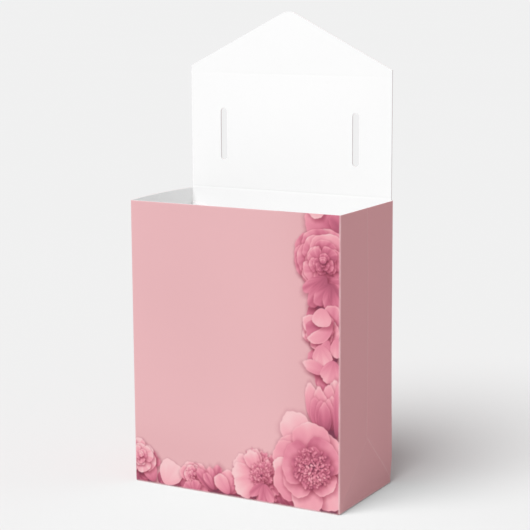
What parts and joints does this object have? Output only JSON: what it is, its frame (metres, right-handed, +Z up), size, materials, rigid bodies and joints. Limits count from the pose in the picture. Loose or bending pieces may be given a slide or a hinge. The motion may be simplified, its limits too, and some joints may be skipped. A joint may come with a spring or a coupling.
{
  "type": "flower box",
  "caption": "Small upright card box with gusseted sides, a hinged lid with ribbon slots and a pointed closing flap.",
  "frame": {"origin": "on the surface the box stands on, under the middle of its base", "axes": "+Z up, the printed front panel faces -Y, the lid is hinged on the back panel at +Y"},
  "size_m": [0.064, 0.032, 0.1298],
  "materials": {
    "floral_print": "satin",
    "rose_print": "satin",
    "bare_card": "matte"
  },
  "bodies": {
    "box": {"front_panel": "floral_print", "back_panel": "rose_print", "right_front_gusset": "rose_print", "right_rear_gusset": "rose_print", "right_base_gusset": "rose_print", "left_front_gusset": "rose_print", "left_rear_gusset": "rose_print", "left_base_gusset": "rose_print", "seam_flap": "bare_card", "front_bottom_flap": "rose_print", "back_bottom_flap": "rose_print", "right_bottom_flap": "rose_print", "left_bottom_flap": "rose_print"},
    "lid": {"lid_panel": "rose_print"},
    "flap": {"closing_flap": "rose_print"}
  },
  "joints": [
    {"name": "lid_hinge", "type": "hinge", "parent": "box", "child": "lid", "pos_m": [0, 0.016, 0.08], "axis": [1, 0, 0], "range_deg": [-45, 90]},
    {"name": "flap_crease", "type": "hinge", "parent": "lid", "child": "flap", "pos_m": [0, 0.016, 0.1126], "axis": [1, 0, 0], "range_deg": [-20, 90]}
  ]
}
